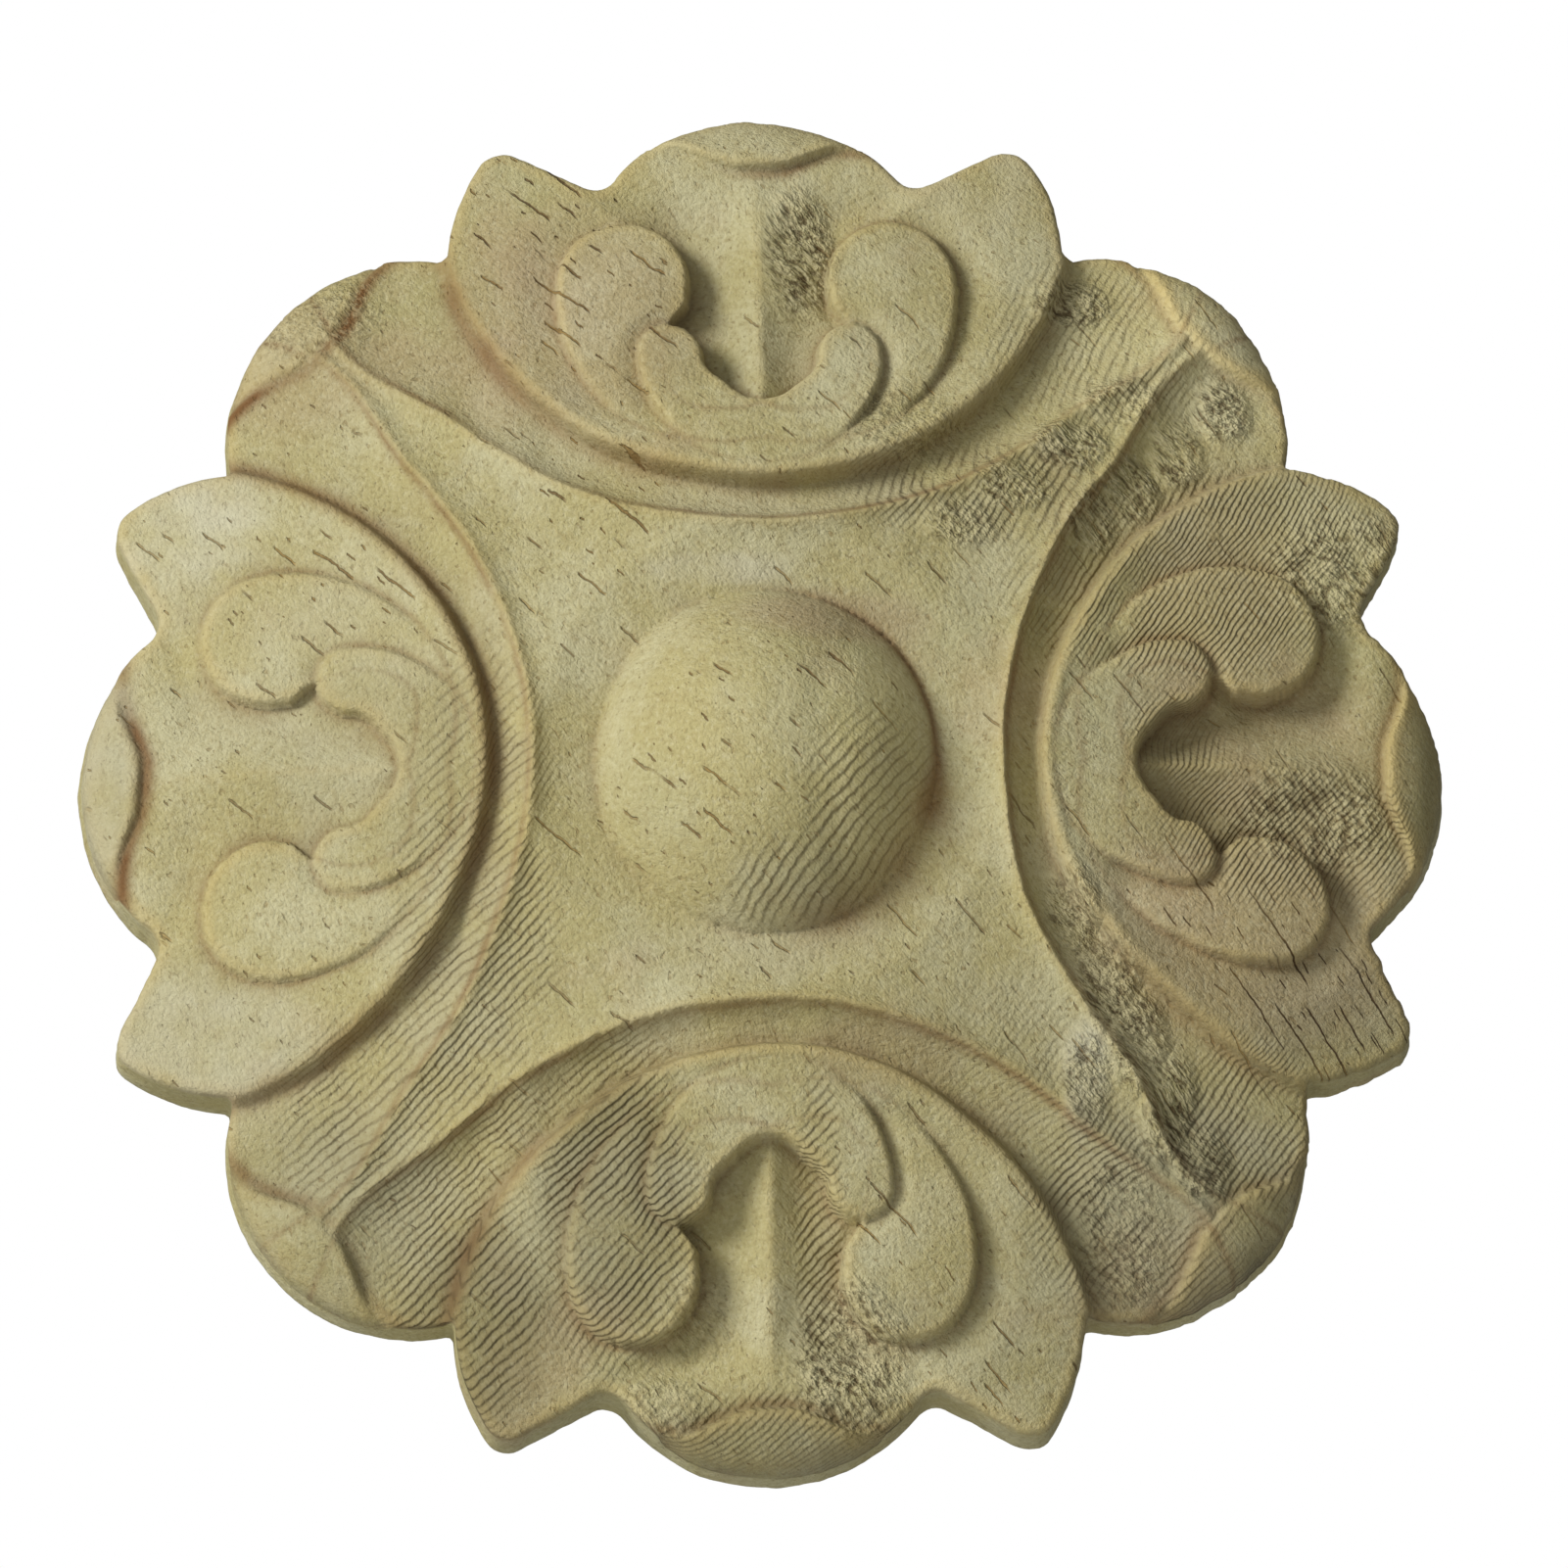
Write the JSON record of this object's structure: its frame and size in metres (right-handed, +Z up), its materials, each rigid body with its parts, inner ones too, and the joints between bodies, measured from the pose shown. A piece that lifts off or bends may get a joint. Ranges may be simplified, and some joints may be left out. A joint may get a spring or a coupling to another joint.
{
  "type": "carved wood rosette applique",
  "caption": "Round lobed carved wood rosette applique with a flat back, glued or pinned on furniture, doors or mouldings as ornament.",
  "frame": {"origin": "middle of the flat back face", "axes": "+Z up as hung, carved face towards -Y, flat back in the plane Y = 0, +X to the right seen from the front"},
  "size_m": [0.1, 0.0192, 0.1024],
  "materials": {
    "wood": "bare carved rubberwood, unfinished and matte"
  },
  "bodies": {
    "root": {"rosette": "wood"}
  },
  "joints": []
}
